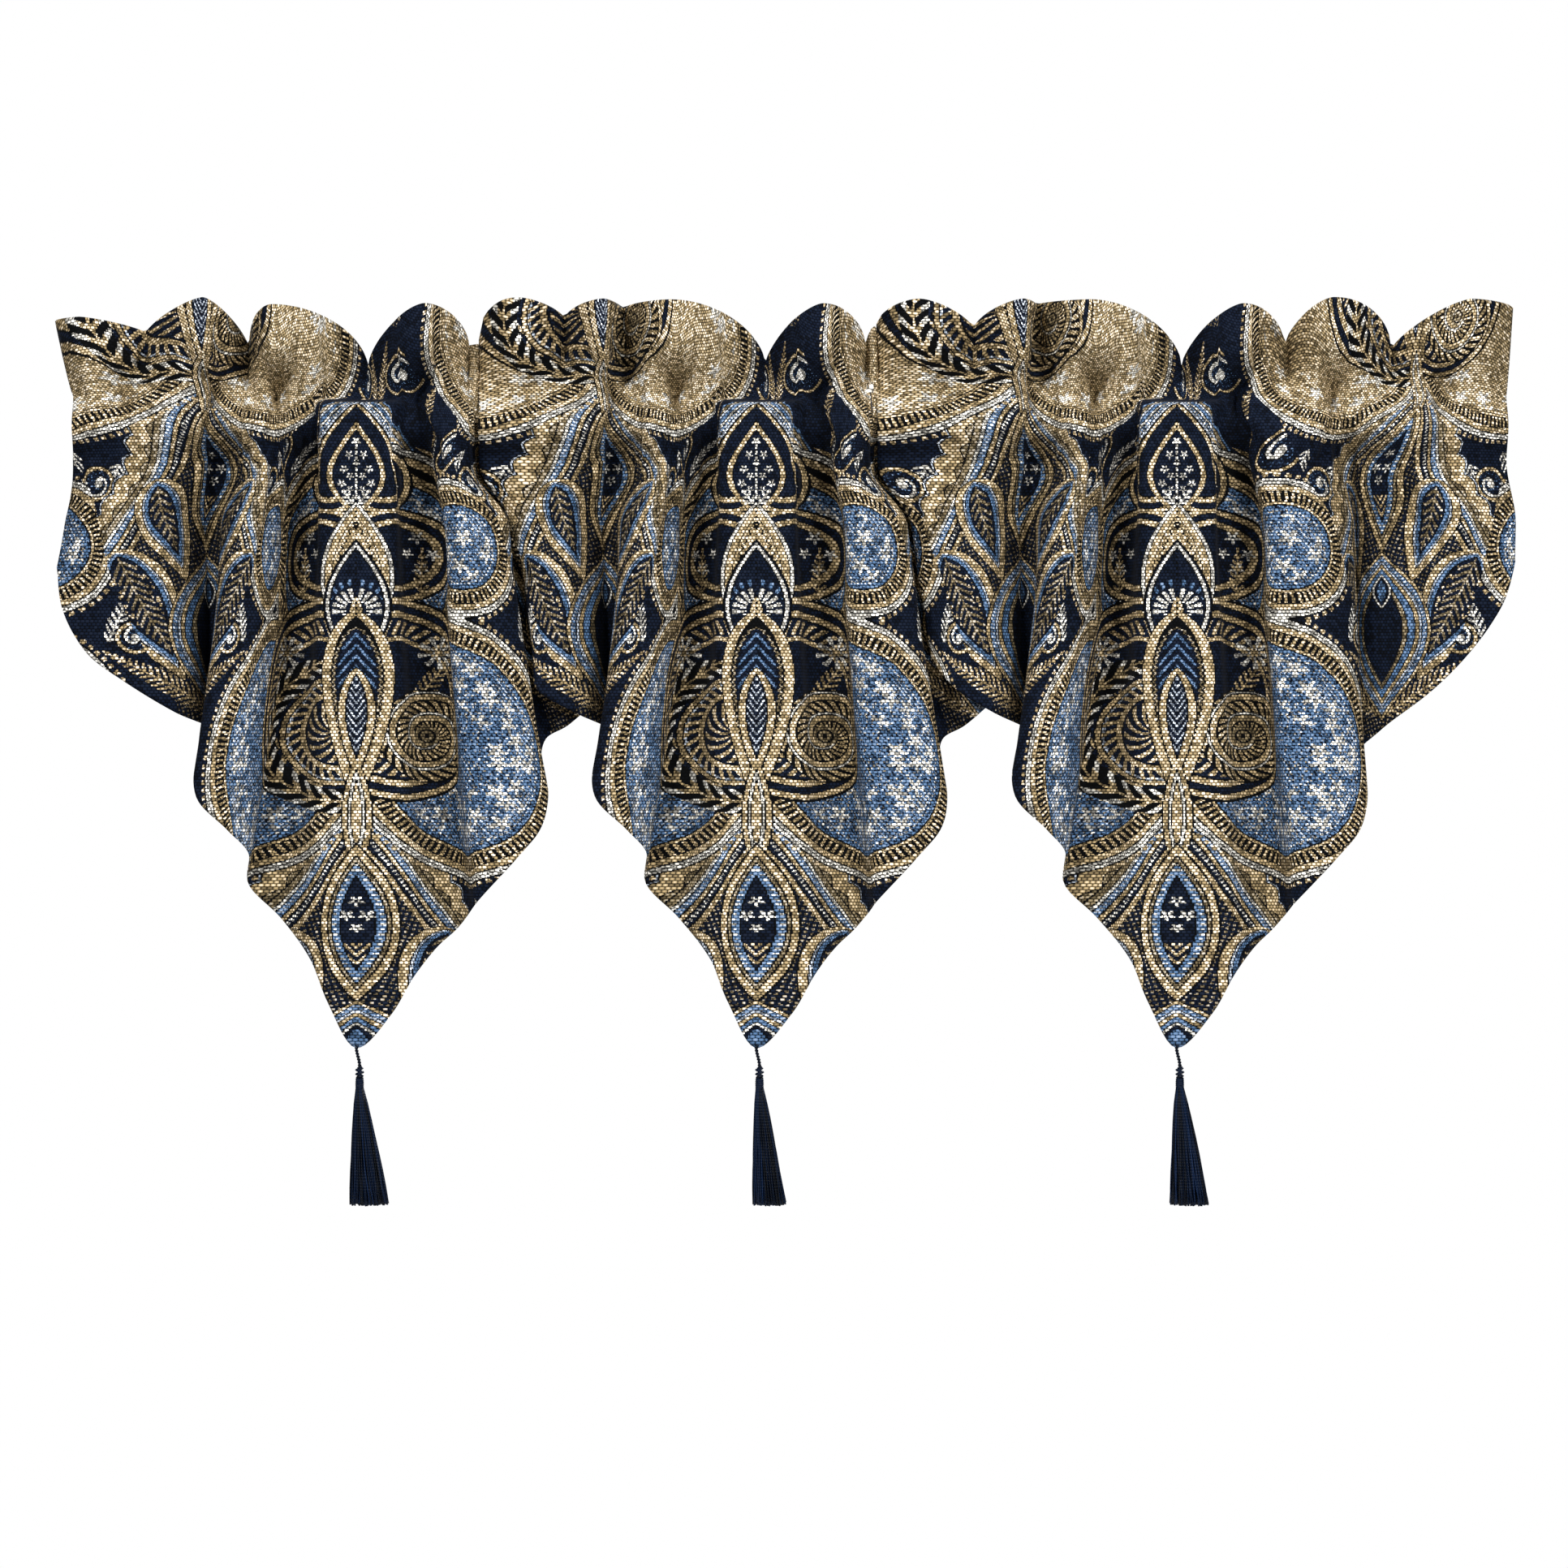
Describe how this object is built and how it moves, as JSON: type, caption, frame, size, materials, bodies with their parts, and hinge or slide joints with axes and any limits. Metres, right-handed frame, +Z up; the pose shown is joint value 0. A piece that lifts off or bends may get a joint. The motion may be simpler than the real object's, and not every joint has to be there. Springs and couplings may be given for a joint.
{
  "type": "ascot valance",
  "caption": "Row of gathered ascot valances on one rod pocket, each with a ruffled header, side wings and a pointed front that ends in a tassel, in a navy and gold paisley jacquard.",
  "frame": {"origin": "on the axis of the rod that goes through the pockets, at the middle of the row's width", "axes": "+X along the rod to the viewer's right, +Y away from the viewer, +Z up"},
  "size_m": [1.1917, 0.0641, 0.736],
  "materials": {
    "cloth": "woven jacquard, matte with a slight sheen",
    "yarn": "smooth twisted yarn with a soft sheen"
  },
  "bodies": {
    "root": {"heading_left": "cloth", "heading_middle": "cloth", "heading_right": "cloth", "panel_left": "cloth", "panel_middle": "cloth", "panel_right": "cloth", "tassel_left": "yarn", "tassel_middle": "yarn", "tassel_right": "yarn"}
  },
  "joints": []
}
